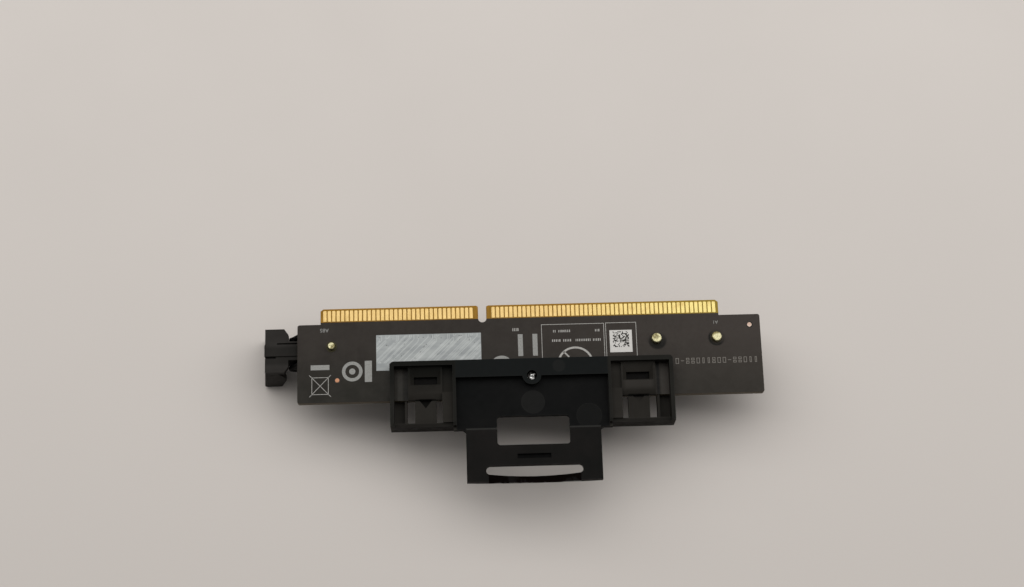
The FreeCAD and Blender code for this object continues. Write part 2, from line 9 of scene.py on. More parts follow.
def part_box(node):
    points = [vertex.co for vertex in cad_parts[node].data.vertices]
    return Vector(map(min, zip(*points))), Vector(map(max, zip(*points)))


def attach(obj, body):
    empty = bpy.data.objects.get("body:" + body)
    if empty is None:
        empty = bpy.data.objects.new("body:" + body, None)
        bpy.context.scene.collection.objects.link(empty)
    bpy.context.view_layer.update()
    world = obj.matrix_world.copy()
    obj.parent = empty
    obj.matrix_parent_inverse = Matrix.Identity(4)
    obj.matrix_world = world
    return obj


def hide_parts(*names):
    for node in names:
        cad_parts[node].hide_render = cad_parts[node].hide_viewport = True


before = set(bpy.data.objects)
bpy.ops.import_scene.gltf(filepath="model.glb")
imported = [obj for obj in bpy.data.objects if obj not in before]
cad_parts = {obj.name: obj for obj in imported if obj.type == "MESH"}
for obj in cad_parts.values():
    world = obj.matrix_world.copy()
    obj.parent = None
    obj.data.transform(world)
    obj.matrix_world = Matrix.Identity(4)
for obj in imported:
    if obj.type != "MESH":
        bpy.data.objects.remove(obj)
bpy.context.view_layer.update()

# The looks of a PCIe riser card. Lengths below are millimetres, in the part's own frame:
# +X along the board, +Y towards the gold edge, +Z away from the card slot.
MM = 0.001
chance = random.Random(7)


def node_box(node):
    """A CAD node's lowest and highest corner in millimetres."""
    low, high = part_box(node)
    return low / MM, high / MM


def middle(low, high):
    """Centre in plan of a box."""
    return (low.x + high.x) / 2, (low.y + high.y) / 2


board_low, board_high = node_box("pcb")
board_under, board_top = board_low.z, board_high.z
slot_y = middle(*node_box("slot_housing"))[1]
mouth_z = node_box("slot_housing")[0].z
bracket_x = middle(*node_box("bracket"))[0]
mask_edge = node_box("fingers_a_long")[0].y - 0.12      # from here to the gold edge the tab is bare
hook_offset = 23.75                                     # of a hook hole, to each side of bracket_x


# ---------------------------------------------------------------- finishes
def srgb(red, green, blue):
    """A colour written as 0 to 255, in Blender's linear units."""
    def linear(level):
        level /= 255
        return level / 12.92 if level <= 0.04045 else ((level + 0.055) / 1.055) ** 2.4
    return (linear(red), linear(green), linear(blue), 1.0)


class Finish:
    """A Principled material and short calls for the nodes that feed it."""

    def __init__(self, name, **settings):
        self.material = bpy.data.materials.new(name)
        self.material.use_nodes = True
        self.tree = self.material.node_tree
        self.shader = self.tree.nodes["Principled BSDF"]
        for key, value in settings.items():
            socket = key.replace("_", " ").title().replace("Ior", "IOR")
            self.shader.inputs[socket].default_value = value
        at = self.tree.nodes.new("ShaderNodeTexCoord").outputs["Object"]
        self.at = self.vector("MULTIPLY", at, (1 / MM, 1 / MM, 1 / MM))

    def feed(self, socket, value):
        if isinstance(value, bpy.types.NodeSocket):
            self.tree.links.new(value, socket)
        else:
            socket.default_value = value

    def node(self, kind, inputs, output=0, **settings):
        made = self.tree.nodes.new("ShaderNode" + kind)
        for key, value in settings.items():
            setattr(made, key, value)
        for key, value in inputs.items():
            self.feed(made.inputs[key], value)
        return made.outputs[output]

    def math(self, operation, a, b=0.0, clamp=False):
        return self.node("Math", {0: a, 1: b}, operation=operation, use_clamp=clamp)

    def times(self, product, *others):
        for other in others:
            product = self.math("MULTIPLY", product, other)
        return product

    def plus(self, total, *others):
        for other in others:
            total = self.math("ADD", total, other)
        return total

    def vector(self, operation, a, b):
        return self.node("VectorMath", {0: a, 1: b}, operation=operation)

    def axis(self, index):
        """One coordinate in millimetres."""
        return self.node("SeparateXYZ", {0: self.at}, output=index)

    def noise(self, scale, detail=2.0, stretch=(1, 1, 1)):
        at = self.vector("MULTIPLY", self.at, stretch)
        return self.node("TexNoise", {"Vector": at, "Scale": scale, "Detail": detail})

    def remap(self, value, low, high, to_low=0.0, to_high=1.0):
        return self.node("MapRange", {0: value, 1: low, 2: high, 3: to_low, 4: to_high})

    def disc(self, x, y, radius, soft=0.12):
        """1 inside a circle in plan, fading to 0 across its edge."""
        flat = self.vector("MULTIPLY", self.at, (1, 1, 0))
        away = self.node("VectorMath", {0: flat, 1: (x, y, 0)}, output=1, operation="DISTANCE")
        return self.remap(away, radius + soft, radius - soft)

    def patch(self, x0, x1, y0, y1, soft=0.05):
        """1 inside a rectangle in plan, fading to 0 across its sides."""
        sides = []
        for index, low, high in ((0, x0, x1), (1, y0, y1)):
            place = self.axis(index)
            sides.append(self.remap(place, low - soft, low + soft))
            sides.append(self.remap(place, high + soft, high - soft))
        return self.times(*sides)

    def upward(self):
        """1 on faces that look up."""
        normal = self.node("NewGeometry", {}, output=1)
        return self.remap(self.node("SeparateXYZ", {0: normal}, output=2), 0.2, 0.6)

    def edges(self, radius):
        """1 along edges, where the normal of a rounded surface leaves the real one."""
        soft = self.node("Bevel", {"Radius": radius * MM}, samples=6)
        hard = self.node("NewGeometry", {}, output=1)
        likeness = self.node("VectorMath", {0: soft, 1: hard}, output=1, operation="DOT_PRODUCT")
        return self.remap(likeness, 0.985, 0.8)

    def blend(self, factor, a, b):
        return self.node("Mix", {0: factor, 6: a, 7: b}, output=2, data_type="RGBA")

    def tint(self, tone, area, amount, shade):
        """A tone drawn towards a shade inside an area."""
        return self.blend(self.times(area, amount), tone, shade)

    def colour(self, value):
        self.feed(self.shader.inputs["Base Color"], value)

    def rough(self, value):
        self.feed(self.shader.inputs["Roughness"], value)

    def gloss(self, value):
        self.feed(self.shader.inputs["Specular IOR Level"], value)

    def relief(self, *layers):
        """Bumps from (height, depth in millimetres) pairs, one on top of the other."""
        normal = None
        for height, depth in layers:
            inputs = {"Height": height, "Distance": depth * MM, "Strength": 1.0}
            if normal is not None:
                inputs["Normal"] = normal
            normal = self.node("Bump", inputs)
        self.feed(self.shader.inputs["Normal"], normal)


def plastic(name, grain, base, worn, belt=None):
    """Moulded plastic: a spark-eroded grain, flow clouds, and perhaps a belt of other colours."""
    made = Finish(name, specular_ior_level=0.03)
    clouds = made.remap(made.noise(0.12, 3), 0.35, 0.7)
    tone = made.blend(clouds, base, worn)
    if belt:
        area, belt_base, belt_worn = belt
        tone = made.blend(made.patch(*area, 0.4), tone, made.blend(clouds, belt_base, belt_worn))
    made.colour(tone)
    made.rough(made.remap(made.noise(0.9, 4), 0.3, 0.7, 0.42, 0.6))
    made.relief((made.noise(grain, 3), 0.003), (made.noise(0.5, 2), 0.006))
    return made.material


# tints inside the snap boxes, the darker ones painted shade: x from the bracket's middle, y, softness,
# amount, colour
box_areas = (
    (20.6, 27.0, -20.7, -18.6, 0.5, 0.32, srgb(66, 63, 60)),        # the right-hand crossbar
    (21.4, 26.1, -22.35, -21.9, 0.12, 0.9, srgb(4, 4, 4)),          # painted shade where the tongues begin
    (-26.1, -21.4, -22.2, -21.9, 0.12, 0.7, srgb(4, 4, 4)),
    (17.0, 31.0, -28.6, -27.6, 0.12, 0.5, srgb(16, 15, 14)),        # painted shade on the lower walls
    (-31.0, -17.0, -28.6, -27.6, 0.12, 0.5, srgb(16, 15, 14)))
vee_top, vee_half, vee_slope = -22.05, 1.5, 0.78
# place, radius and strength of the round marks that the mould's ejector pins leave
ejector_marks = ((10.8, -23.2, 2.6, 1.0), (16.8, -15.4, 1.4, 1.0), (23.2, -26.6, 2.8, 0.5))


def box_tone(made, at_x, at_y, clouds, raised):
    """The snap boxes' colour, painted lighter than the panel as painted sheen, with painted shade in
    places; at_x is measured from the bracket's middle.
    """
    tone = made.blend(clouds, srgb(36, 34, 31), srgb(44, 42, 39))
    tone = made.tint(tone, raised, 0.6, srgb(24, 25, 23))
    # painted shade in the upper part of the left box
    painted_shade_left_top = made.times(made.remap(at_x, -16.6, -17.4), made.remap(at_y, -20.5, -16.0))
    tone = made.tint(tone, painted_shade_left_top, 0.75, srgb(17, 18, 16))
    for x0, x1, y0, y1, soft, amount, shade in box_areas:
        area = made.patch(bracket_x + x0, bracket_x + x1, y0, y1, soft)
        tone = made.tint(tone, area, amount, shade)
    # painted shade in the V notch on the left-hand tongue, narrower the further down
    sideways = made.math("ABSOLUTE", made.math("ADD", at_x, hook_offset))
    off_vee = made.plus(sideways, made.times(made.math("SUBTRACT", vee_top, at_y), vee_slope))
    vee_shade = made.times(made.remap(off_vee, vee_half, vee_half - 0.15), made.remap(at_y, -21.8, -22.0))
    return made.tint(tone, vee_shade, 0.9, srgb(6, 6, 5))


def bracket_finish():
    """The bracket's plastic: near-black on the panel, painted lighter on the snap boxes as painted
    sheen, with painted highlights and shade, glossy on the lip.
    """
    made = Finish("bracket_plastic")
    at_x = made.math("SUBTRACT", made.axis(0), bracket_x)
    at_y, at_z = made.axis(1), made.axis(2)
    clouds = made.remap(made.noise(0.12, 3), 0.35, 0.7)
    raised = made.remap(at_z, board_top + 2.4, board_top + 2.7)
    tone = made.blend(clouds, srgb(14, 15, 15), srgb(19, 19, 19))
    tone = made.blend(raised, tone, srgb(22, 24, 24))
    handle = made.blend(clouds, srgb(19, 19, 18), srgb(27, 25, 24))
    tone = made.blend(made.remap(at_y, -28.8, -29.6), tone, handle)
    boxes = box_tone(made, at_x, at_y, clouds, raised)
    # painted sheen: the snap boxes are painted lighter than the panel
    tone = made.blend(made.remap(made.math("ABSOLUTE", at_x), 16.8, 17.2), tone, boxes)
    marks = made.plus(*[
        made.times(made.disc(x, y, radius), strength) for x, y, radius, strength in ejector_marks])
    tone = made.tint(tone, made.times(marks, made.upward()), 0.5, srgb(34, 34, 33))
    # painted highlight along the fold
    painted_fold_highlight = made.patch(bracket_x - 14.9, bracket_x + 14.9, -29.45, -28.95, 0.15)
    tone = made.tint(tone, painted_fold_highlight, 0.5, srgb(70, 70, 68))
    # painted highlight along the edges
    tone = made.tint(tone, made.edges(0.14), 0.45, srgb(62, 61, 59))
    # painted shade in the grip's groove
    painted_groove_shade = made.patch(bracket_x - 3.75, bracket_x + 3.75, -36.2, -35.1)
    tone = made.blend(painted_groove_shade, tone, srgb(7, 7, 7))
    lip = made.patch(bracket_x - 10.2, bracket_x + 10.2, -42.0, -39.65)
    pool = made.remap(made.noise(0.45, 2, (1, 0.4, 1)), 0.48, 0.6)
    made.colour(made.blend(lip, tone, srgb(13, 9, 8)))
    rub = made.remap(made.noise(0.9, 4), 0.3, 0.7, 0.42, 0.6)
    made.rough(made.node("Mix", {0: lip, 2: rub, 3: 0.22}))
    made.gloss(made.node("Mix", {0: lip, 2: 0.02, 3: made.remap(pool, 0, 1, 0.0, 0.25)}))
    made.relief((made.noise(14.0, 3), 0.004), (made.noise(0.5, 2), 0.008))
    return made.material


def metal(name, bright, dark, rough, scale, stretch=(1, 1, 1), depth=0.002, tarnished=0.8,
          far=None, metallic=1.0):
    """Metal with fine lines and a little tarnish; "far" is its colour at the board's right end."""
    made = Finish(name, metallic=metallic)
    tone = made.blend(made.remap(made.axis(0), 15, 55), bright, far or bright)
    lines = made.noise(scale, 4, stretch)
    made.colour(made.blend(made.remap(made.noise(0.8, 5), 0.5, tarnished), tone, dark))
    made.rough(made.remap(lines, 0.25, 0.75, rough * 0.75, rough * 1.3))
    made.relief((lines, depth))
    return made.material


def broken_steel_painted_glint():
    """The sheared tip of the screw: painted dark as shade, with one painted glint."""
    x, y = middle(*node_box("bracket_screw"))
    made = Finish("broken_steel_painted_glint", metallic=1.0)
    grain = made.noise(1.8, 4)
    painted_glint = made.times(made.disc(x + 0.2, y - 0.15, 0.6, 0.15), made.remap(grain, 0.4, 0.48))
    made.colour(made.blend(painted_glint, srgb(30, 29, 28), srgb(226, 226, 224)))
    made.rough(made.remap(grain, 0.3, 0.7, 0.25, 0.4))
    made.relief((grain, 0.01))
    return made.material


# rings round two locating pins, the front one darkened with painted shadow: place, radius, width,
# colour
pin_rings = (
    (52.75, -9.0, 1.85, 0.4, srgb(10, 11, 5)), (-34.05, -8.9, 1.2, 0.3, srgb(64, 60, 30)))
# strips of the board inside the snap boxes, two lighter and two darkened as painted shade of a rim: x
# from the bracket's middle, amount, colour
board_strips = (
    (-30.0, -28.9, 0.45, srgb(58, 56, 52)), (-28.6, -26.8, 0.4, srgb(16, 15, 13)),
    (28.9, 30.9, 0.5, srgb(60, 56, 52)), (28.0, 28.65, 0.85, srgb(6, 6, 5)))


def solder_mask():
    """Dark mask over copper; the tab is bare laminate down to the mask's edge."""
    made = Finish("solder_mask", specular_ior_level=0.1)
    mottle = made.noise(0.25, 4)
    weave = made.noise(3.0, 2, (1.0, 0.12, 1.0))
    dust = made.noise(7.0, 2)
    at_x, at_y = made.axis(0), made.axis(1)
    # painted light: the mask is lighter towards the right end, where more light falls; it is also
    # lighter towards the gold edge
    gold_side = made.remap(at_y, -19.0, -8.0)
    left = made.blend(gold_side, srgb(30, 28, 23), srgb(42, 37, 33))
    right = made.blend(gold_side, srgb(44, 40, 35), srgb(58, 52, 48))
    mask = made.blend(made.remap(at_x, 5, 60, 0.0, 0.85), left, right)
    mask = made.blend(made.remap(mottle, 0.35, 0.65, 0.0, 0.25), mask, srgb(58, 54, 49))
    mask = made.blend(made.remap(dust, 0.66, 0.8, 0.0, 0.3), mask, srgb(78, 74, 68))
    upper = made.remap(made.axis(2), 0.0, 0.1)
    # a dark ring round the locating pins, with painted shadow that makes it thickest on the handle's
    # side and at the front pin's lower left
    handle_side = made.remap(at_y, -7.6, -10.4, 0.35, 1.0)
    key_ring_and_shadow = made.times(made.disc(39.35, -9.4, 2.0, 0.2), handle_side, upper)
    mask = made.tint(mask, key_ring_and_shadow, 0.95, srgb(9, 8, 4))
    low_left = made.remap(made.plus(at_x, at_y), 44.9, 43.1, 0.25, 1.0)
    for x, y, radius, width, tone in pin_rings:
        outer, inner = made.disc(x, y, radius, 0.15), made.disc(x, y, radius - width, 0.15)
        ring = made.times(made.math("SUBTRACT", outer, inner, True), upper)
        mask = made.tint(mask, ring, low_left if x > 0 else 0.6, tone)
    # painted shade on the board seen in the depth of the hook holes
    holes = made.plus(*[
        made.patch(x - 3.2, x + 3.2, -18.4, -16.2, 0.15)
        for x in (bracket_x - hook_offset, bracket_x + hook_offset)])
    painted_hole_shade = made.times(holes, upper)
    mask = made.blend(painted_hole_shade, mask, srgb(8, 7, 6))
    made.gloss(made.remap(painted_hole_shade, 0, 1, 0.1, 0.03))
    for x0, x1, amount, shade in board_strips:
        strip = made.times(upper, made.patch(bracket_x + x0, bracket_x + x1, -21.9, -13.2, 0.15))
        mask = made.tint(mask, strip, amount, shade)
    tan = made.blend(made.remap(weave, 0.35, 0.65), srgb(128, 93, 24), srgb(146, 108, 36))
    tan = made.blend(made.remap(at_x, 20, 60), tan, srgb(142, 122, 44))
    edge = made.plus(at_y, made.times(made.noise(2.5, 2), 0.12))
    bare = made.remap(edge, mask_edge - 0.02, mask_edge + 0.04)
    made.colour(made.blend(bare, mask, tan))
    made.rough(made.remap(made.noise(1.2, 3), 0.3, 0.7, 0.38, 0.52))
    made.relief((made.noise(9.0, 3), 0.003), (weave, 0.002))
    return made.material


def laminate():
    """The cut edge of the board: glass layers in resin."""
    made = Finish("laminate")
    layers = made.noise(6.0, 3, (0.15, 0.15, 1.6))
    made.colour(made.blend(layers, srgb(52, 45, 34), srgb(96, 84, 60)))
    made.rough(0.7)
    made.relief((made.noise(8.0, 3), 0.01))
    return made.material


def silver_print(name, dull, bright):
    """Thick silver-grey ink, cloudy where the squeegee passed."""
    made = Finish(name, specular_ior_level=0.2)
    cloud = made.noise(0.5, 5, (0.5, 1.4, 1))
    grain = made.noise(12.0, 2)
    tone = made.blend(made.remap(cloud, 0.3, 0.7), dull, bright)
    made.colour(made.blend(made.remap(grain, 0.68, 0.8, 0, 0.6), tone, srgb(92, 92, 88)))
    made.rough(made.remap(cloud, 0.3, 0.7, 0.34, 0.5))
    made.relief((grain, 0.003))
    return made.material


def ink(name, tone):
    """Screen-printed legend ink, a little broken at its edges."""
    made = Finish(name, specular_ior_level=0.15)
    wear = made.noise(5.0, 4)
    made.colour(made.blend(made.remap(wear, 0.52, 0.78), tone, srgb(84, 81, 76)))
    made.rough(made.remap(wear, 0.3, 0.7, 0.5, 0.7))
    made.relief((made.noise(14.0, 2), 0.003))
    return made.material


def film():
    """White label stock."""
    made = Finish("label_film")
    fibre = made.noise(3.0, 4)
    made.colour(made.blend(made.remap(fibre, 0.3, 0.7), srgb(186, 184, 180), srgb(198, 196, 192)))
    made.rough(made.remap(fibre, 0.3, 0.7, 0.42, 0.55))
    made.relief((made.noise(6.0, 3), 0.004))
    return made.material


def ceramic(name, base, other, rough):
    """A fired chip body."""
    made = Finish(name)
    fired = made.noise(2.2, 4)
    made.colour(made.blend(made.remap(fired, 0.3, 0.7), base, other))
    made.rough(made.remap(made.noise(4.0, 3), 0.3, 0.7, rough, rough + 0.15))
    made.relief((made.noise(10.0, 3), 0.004))
    return made.material


# the latch's middle, darker than its two heads
latch_belt = (-60.0, -40.0, -12.2, -8.0), srgb(33, 32, 30), srgb(41, 39, 37)

paint = {
    "mask": solder_mask(),
    "laminate": laminate(),
    "silver": silver_print("silver_print", srgb(136, 140, 141), srgb(166, 170, 169)),
    # the ink on the ridges is painted lighter than the block: painted highlight along the ridges
    "silver_over_copper": silver_print(
        "silver_over_copper", srgb(164, 168, 168), srgb(188, 191, 190)),
    "ink": ink("legend_ink", srgb(166, 164, 160)),
    "grey_ink": ink("grey_ink", srgb(142, 142, 139)),
    "dark_ink": ink("dark_ink", srgb(30, 29, 27)),
    "faint_ink": ink("faint_ink", srgb(116, 112, 106)),
    "film": film(),
    "gold": metal("gold_plating", srgb(204, 174, 112), srgb(194, 162, 96), 0.42, 7.0, (1, 0.08, 1),
                  far=srgb(214, 198, 124), metallic=0.55),
    "copper": metal("copper", srgb(148, 108, 84), srgb(126, 90, 66), 0.4, 6.0),
    "tinned": metal("tinned_copper", srgb(164, 146, 134), srgb(140, 112, 98), 0.4, 6.0),
    "bracket": bracket_finish(),
    "slot": plastic("slot_plastic", 18.0, srgb(15, 15, 15), srgb(22, 21, 20)),
    "latch": plastic("latch_plastic", 16.0, srgb(43, 41, 39), srgb(53, 51, 49), latch_belt),
    "pin": metal("pin_metal", srgb(190, 185, 150), srgb(120, 112, 78), 0.5, 3.0,
                 depth=0.02, tarnished=0.65),
    "contact": metal("contact_alloy", srgb(228, 196, 120), srgb(190, 160, 100), 0.3, 8.0, (1, 1, 0.1)),
    "steel": metal("screw_steel", srgb(188, 188, 187), srgb(120, 118, 115), 0.26, 4.0, depth=0.006),
    "broken": broken_steel_painted_glint(),
    "solder": metal("solder", srgb(206, 206, 202), srgb(150, 150, 146), 0.3, 2.0, depth=0.008),
    "ceramic": ceramic("ceramic", srgb(150, 118, 82), srgb(168, 134, 96), 0.35),
    "resistor": ceramic("resistor_body", srgb(30, 30, 32), srgb(44, 44, 46), 0.4),
}


# ---------------------------------------------------------------- pieces
def piece(name, mesh, finishes, body="riser", stands_for=()):
    """Links a mesh whose vertices are already in place, and hangs it on its body."""
    made = bpy.data.objects.new(name, mesh)
    bpy.context.scene.collection.objects.link(made)
    for finish in finishes if isinstance(finishes, (list, tuple)) else [finishes]:
        mesh.materials.append(paint[finish])
    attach(made, body)
    if stands_for:
        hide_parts(*stands_for)
    return made


def finished(work, name, smooth=True):
    """The mesh of a bmesh drawn in millimetres."""
    bmesh.ops.scale(work, vec=(MM, MM, MM), verts=work.verts)
    bmesh.ops.recalc_face_normals(work, faces=work.faces)
    mesh = bpy.data.meshes.new(name)
    work.to_mesh(mesh)
    work.free()
    if smooth:
        mesh.shade_smooth()
    return mesh


def flat_piece(name, work, finish):
    """A piece with flat faces that stands for no node."""
    return piece(name, finished(work, name, False), finish)


def round_edges(made, width, segments=2, angle=30.0):
    bevel = made.modifiers.new("round_edges", "BEVEL")
    bevel.width = width * MM
    bevel.segments = segments
    bevel.limit_method = "ANGLE"
    bevel.angle_limit = math.radians(angle)
    flat = made.modifiers.new("flat_faces", "WEIGHTED_NORMAL")
    flat.weight = 100
    return made


def cad_copy(node):
    """A CAD node's mesh with its flat facets joined."""
    work = bmesh.new()
    work.from_mesh(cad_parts[node].data)
    bmesh.ops.scale(work, vec=(1 / MM, 1 / MM, 1 / MM), verts=work.verts)
    bmesh.ops.remove_doubles(work, verts=work.verts, dist=0.001)
    bmesh.ops.dissolve_limit(
        work, angle_limit=math.radians(0.5), verts=work.verts, edges=work.edges)
    return work


def dressed(node, finish, edge, body="riser", segments=2):
    """A CAD node with its sharp edges rounded."""
    mesh = finished(cad_copy(node), node + "_mesh")
    return round_edges(piece(node + "_part", mesh, finish, body, [node]), edge, segments)


def ring_points(radius, count, centre=(0, 0), start=0.0, turn=360.0):
    closed = abs(turn) >= 360
    steps = count if closed else count - 1
    return [
        (centre[0] + radius * math.cos(math.radians(start + turn * i / steps)),
         centre[1] + radius * math.sin(math.radians(start + turn * i / steps)))
        for i in range(count)]


def plate(work, outline, z0, z1):
    """A flat closed plate over an outline of (x, y) points."""
    low = [work.verts.new((x, y, z0)) for x, y in outline]
    high = [work.verts.new((x, y, z1)) for x, y in outline]
    work.faces.new(low[::-1])
    work.faces.new(high)
    for i in range(len(outline)):
        j = (i + 1) % len(outline)
        work.faces.new((low[i], low[j], high[j], high[i]))


def bar(work, x0, x1, y0, y1, z0, z1):
    plate(work, [(x0, y0), (x1, y0), (x1, y1), (x0, y1)], z0, z1)


def frame_bars(work, x0, x1, y0, y1, width, z0, z1):
    """A rectangular outline of four bars that meet at their corners."""
    bar(work, x0, x1, y0, y0 + width, z0, z1)
    bar(work, x0, x1, y1 - width, y1, z0, z1)
    bar(work, x0, x0 + width, y0 + width, y1 - width, z0, z1)
    bar(work, x1 - width, x1, y0 + width, y1 - width, z0, z1)


def band(work, inner, outer, z0, z1, closed=True):
    """A plate between two lists of (x, y) points of the same length."""
    rows = [[work.verts.new((x, y, z)) for x, y in points]
            for points, z in ((inner, z0), (outer, z0), (outer, z1), (inner, z1))]
    count = len(inner)
    for i in range(count if closed else count - 1):
        j = (i + 1) % count
        for k in range(4):
            a, b = rows[k], rows[(k + 1) % 4]
            work.faces.new((a[i], a[j], b[j], b[i]))
    if not closed:
        work.faces.new([row[0] for row in rows])
        work.faces.new([row[-1] for row in rows][::-1])


def stroke(work, points, width, z0, z1):
    """A strip of constant width along a line of (x, y) points, with mitred corners."""
    sides = []
    for i, point in enumerate(points):
        here = Vector(point)
        before = (here - Vector(points[i - 1])).normalized() if i else None
        after = (Vector(points[i + 1]) - here).normalized() if i + 1 < len(points) else None
        if before is None or after is None:
            along = before or after
        else:
            along = (before + after).normalized()
        across = Vector((-along.y, along.x))
        leg = after or before
        mitre = width / 2 / max(0.5, across.dot(Vector((-leg.y, leg.x))))
        sides.append((here + across * mitre, here - across * mitre))
    band(work, [a for a, b in sides], [b for a, b in sides], z0, z1, closed=False)


def lathe(work, profile, x, y, count=40):
    """A turned shape from (radius, z) pairs; a radius of 0 closes it."""
    rings = []
    for radius, z in profile:
        if radius == 0:
            rings.append([work.verts.new((x, y, z))])
        else:
            rings.append([work.verts.new((px, py, z)) for px, py in ring_points(radius, count, (x, y))])
    for a, b in zip(rings, rings[1:]):
        for i in range(count):
            j = (i + 1) % count
            corners = [a[i % len(a)], a[j % len(a)], b[j % len(b)], b[i % len(b)]]
            unique = list(dict.fromkeys(corners))
            if len(unique) > 2:
                work.faces.new(unique)


def round_plate(work, x, y, radius, z0, z1, count=40):
    lathe(work, [(0.0, z0), (radius, z0), (radius, z1), (0.0, z1)], x, y, count)


# ---------------------------------------------------------------- board
notch_half = 0.925
tab_rounding = 0.6
finger_pitch = 1.0
finger_width = 0.75
trace_width = 0.16
trace_height = 0.012
print_height = 0.03
ink_height = 0.022


def make_board():
    work = cad_copy("pcb")
    # the tab's corners beside the key notch are rounded a little
    corners = [
        edge for edge in work.edges
        if all(abs(v.co.y) < 0.01 and abs(abs(v.co.x) - notch_half) < 0.01 for v in edge.verts)]
    bmesh.ops.bevel(
        work, geom=corners, offset=tab_rounding, offset_type="OFFSET", segments=4, profile=0.5,
        affect="EDGES")
    for face in work.faces:
        face.normal_update()
        face.material_index = 0 if abs(face.normal.z) > 0.8 else 1
    mesh = finished(work, "pcb_mesh")
    round_edges(piece("pcb_part", mesh, ["mask", "laminate"], stands_for=["pcb"]), 0.05)


def clip(a, b, region):
    """The part of a straight line inside a rectangle, or None."""
    x0, x1, y0, y1 = region
    start, end = 0.0, 1.0
    dx, dy = b[0] - a[0], b[1] - a[1]
    for p, q in ((-dx, a[0] - x0), (dx, x1 - a[0]), (-dy, a[1] - y0), (dy, y1 - a[1])):
        if p == 0:
            if q < 0:
                return None
        elif p < 0:
            start = max(start, q / p)
        else:
            end = min(end, q / p)
    if start >= end:
        return None
    return (a[0] + start * dx, a[1] + start * dy), (a[0] + end * dx, a[1] + end * dy)


def finger_centres(node):
    """Centres of the fingers of one node, from its box and the pitch."""
    low, high = node_box(node)
    count = round((high.x - low.x - finger_width) / finger_pitch) + 1
    return [low.x + finger_width / 2 + i * finger_pitch for i in range(count)]


def trace_routes():
    """Pairs of traces that leave the fingers, step aside at 45 degrees and end in vias."""
    half_gap = 0.19
    first_turn, turn_step = -5.2, 0.55
    shortest_run, run_step = 1.6, 0.35
    shortest_tail, tail_step = 1.0, 0.6
    routes = []
    for node in ("fingers_a_short", "fingers_a_long"):
        centres = finger_centres(node)
        for i in range(0, len(centres) - 1, 2):
            pair_x = (centres[i] + centres[i + 1]) / 2
            lean = -1 if (i // 10) % 3 else 1
            turn = first_turn - turn_step * (i % 8)
            run = shortest_run + run_step * (i % 6)
            end = turn - run - shortest_tail - tail_step * ((i // 2) % 5)
            for side in (-half_gap, half_gap):
                x = pair_x + side
                turn_here = turn - lean * side * 0.4        # keeps the pair's gap round the bend
                routes.append([
                    (x, mask_edge - 0.1), (x, turn_here),
                    (x + lean * run, turn_here - run), (x + lean * run, end)])
    return routes


def make_traces():
    """Traces under the mask of both faces, with vias on the far one."""
    work = bmesh.new()
    for z, out in ((board_top, 1), (board_under, -1)):
        for i, route in enumerate(trace_routes()):
            # no two heights alike where traces cross
            height = trace_height + 0.0008 * (i % 11)
            stroke(work, route, trace_width, z, z + out * height)
            if out < 0:
                round_plate(work, *route[-1], 0.26, z, z - trace_height, 12)
    flat_piece("traces", work, "mask")


def make_silver_block():
    """A block of silver print over ridges of copper, with specks in it."""
    x0, x1, y0, y1 = -24.0, -0.4, -13.2, -6.5
    foot_width, foot_height = 2.9, 1.6
    z = board_top
    work = bmesh.new()
    bar(work, x0, x1, y0, y1, z, z + print_height)
    bar(work, x0, x0 + foot_width, y0 - foot_height, y0, z, z + print_height)
    ridges = bmesh.new()
    inside = (x0 + 0.1, x1 - 0.1, y0 + 0.1, y1 - 0.1)
    ridge_pitch, pair_gap, missing, lean = 0.95, 0.36, 0.35, 6.0
    for i in range(34):
        drop = 0.5 * (i % 4)
        for side in (0.0, pair_gap):
            if chance.random() < missing:
                continue
            x = x0 - 7 + ridge_pitch * i + side
            points = [
                (x + lean, y1), (x + lean, y1 - 0.2 - drop), (x, y1 - 0.2 - lean - drop), (x, y0)]
            for a, b in zip(points, points[1:]):
                cut = clip(a, b, inside)
                if cut:
                    stroke(ridges, list(cut), trace_width, z + print_height, z + print_height * 1.5)
    specks = bmesh.new()
    for _ in range(60):
        x, y = chance.uniform(x0 + 0.4, x1 - 0.4), chance.uniform(y0 + 0.4, y1 - 0.4)
        radius = chance.uniform(0.05, 0.1)
        round_plate(specks, x, y, radius, z + 0.02, z + 0.05, 8)
    flat_piece("silver_block", work, "silver")
    flat_piece("silver_ridges", ridges, "silver_over_copper")
    flat_piece("silver_specks", specks, "dark_ink")


# ---------------------------------------------------------------- legend
def dashes(work, x0, x1, y, half_height, seed, widths, gap=0.2):
    """A row of plain dashes in place of a line of small print."""
    draw = random.Random(seed)
    left_out = 0.14
    x = x0
    while x < x1 - widths[0]:
        width = min(draw.uniform(*widths), x1 - x)
        if draw.random() > left_out:
            bar(work, x, x + width, y - half_height, y + half_height, board_top, board_top + ink_height)
        x += width + gap


